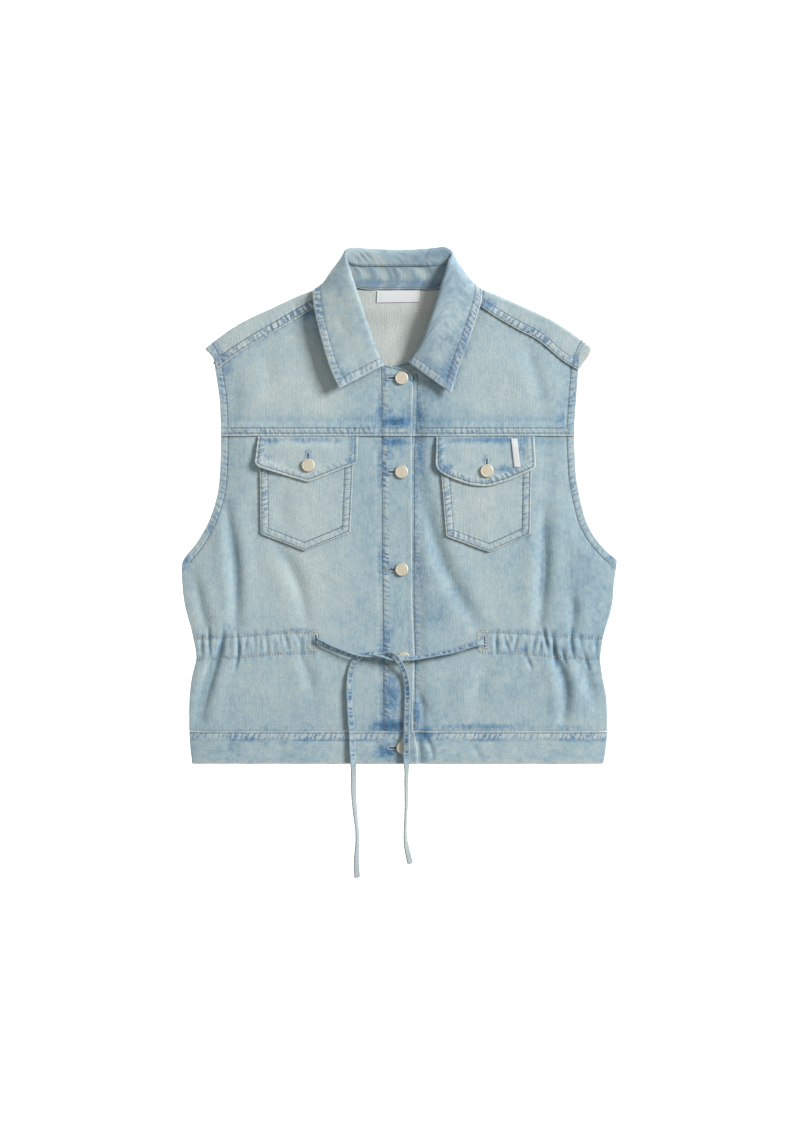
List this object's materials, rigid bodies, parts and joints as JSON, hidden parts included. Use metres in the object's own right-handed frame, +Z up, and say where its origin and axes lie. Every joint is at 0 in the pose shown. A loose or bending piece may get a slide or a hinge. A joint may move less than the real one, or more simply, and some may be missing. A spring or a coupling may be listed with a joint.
{
  "type": "denim vest",
  "caption": "Sleeveless cropped denim vest lying flat on its back: shirt collar, buttoned front, flapped chest pockets, gathered waist with a drawstring and a hem band.",
  "frame": {"origin": "middle of the underside of the vest without its drawstring, on the surface that it lies on", "axes": "+Z up from the surface, +Y towards the collar, +X towards the right of the picture, which is the wearer's left"},
  "size_m": [0.5002, 0.7238, 0.0246],
  "materials": {
    "denim_back": "bleached light blue denim, paler inner side",
    "denim_front": "bleached light blue denim",
    "denim_trim": "bleached light blue denim, bluer along its seams",
    "denim_tape": "stitched light blue denim tape",
    "woven_label": "blank white woven tape",
    "button_metal": "pale satin gold"
  },
  "bodies": {
    "root": {"back": "denim_back", "lower_front_left": "denim_front", "lower_front_right": "denim_front", "upper_front_left": "denim_front", "upper_front_right": "denim_front", "hem_band": "denim_trim", "collar_stand": "denim_trim", "collar": "denim_trim", "pocket_left": "denim_front", "pocket_right": "denim_front", "flap_left": "denim_trim", "flap_right": "denim_trim", "neck_label": "woven_label", "flap_label": "woven_label", "button_1": "button_metal", "button_2": "button_metal", "button_3": "button_metal", "button_4": "button_metal", "button_5": "button_metal", "button_left_flap": "button_metal", "button_right_flap": "button_metal", "drawstring_left": "denim_tape", "drawstring_right": "denim_tape"}
  },
  "joints": []
}
